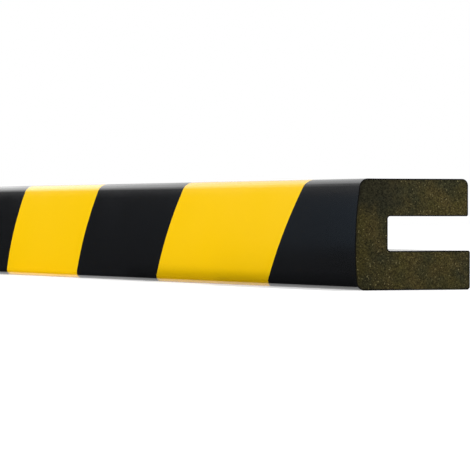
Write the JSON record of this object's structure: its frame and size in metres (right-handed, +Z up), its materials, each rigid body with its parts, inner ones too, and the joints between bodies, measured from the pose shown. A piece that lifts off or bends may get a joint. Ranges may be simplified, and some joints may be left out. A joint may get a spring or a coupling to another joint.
{
  "type": "edge protection profile",
  "caption": "Straight foam bar with a slightly rounded nose and a slot that pushes onto a panel's edge, with slanted black and yellow warning stripes.",
  "frame": {"origin": "middle of the underside of the bounding box, on the flat face of the lower arm that the bar lies on", "axes": "+X along the bar, +Y from the rounded nose to the mouth of the slot, +Z up, across the slot"},
  "size_m": [1, 0.03, 0.026],
  "materials": {
    "striped_foam": "satin moulded skin in black and yellow stripes, with fine open foam on the cut ends"
  },
  "bodies": {
    "root": {"edge_profile": "striped_foam"}
  },
  "joints": []
}
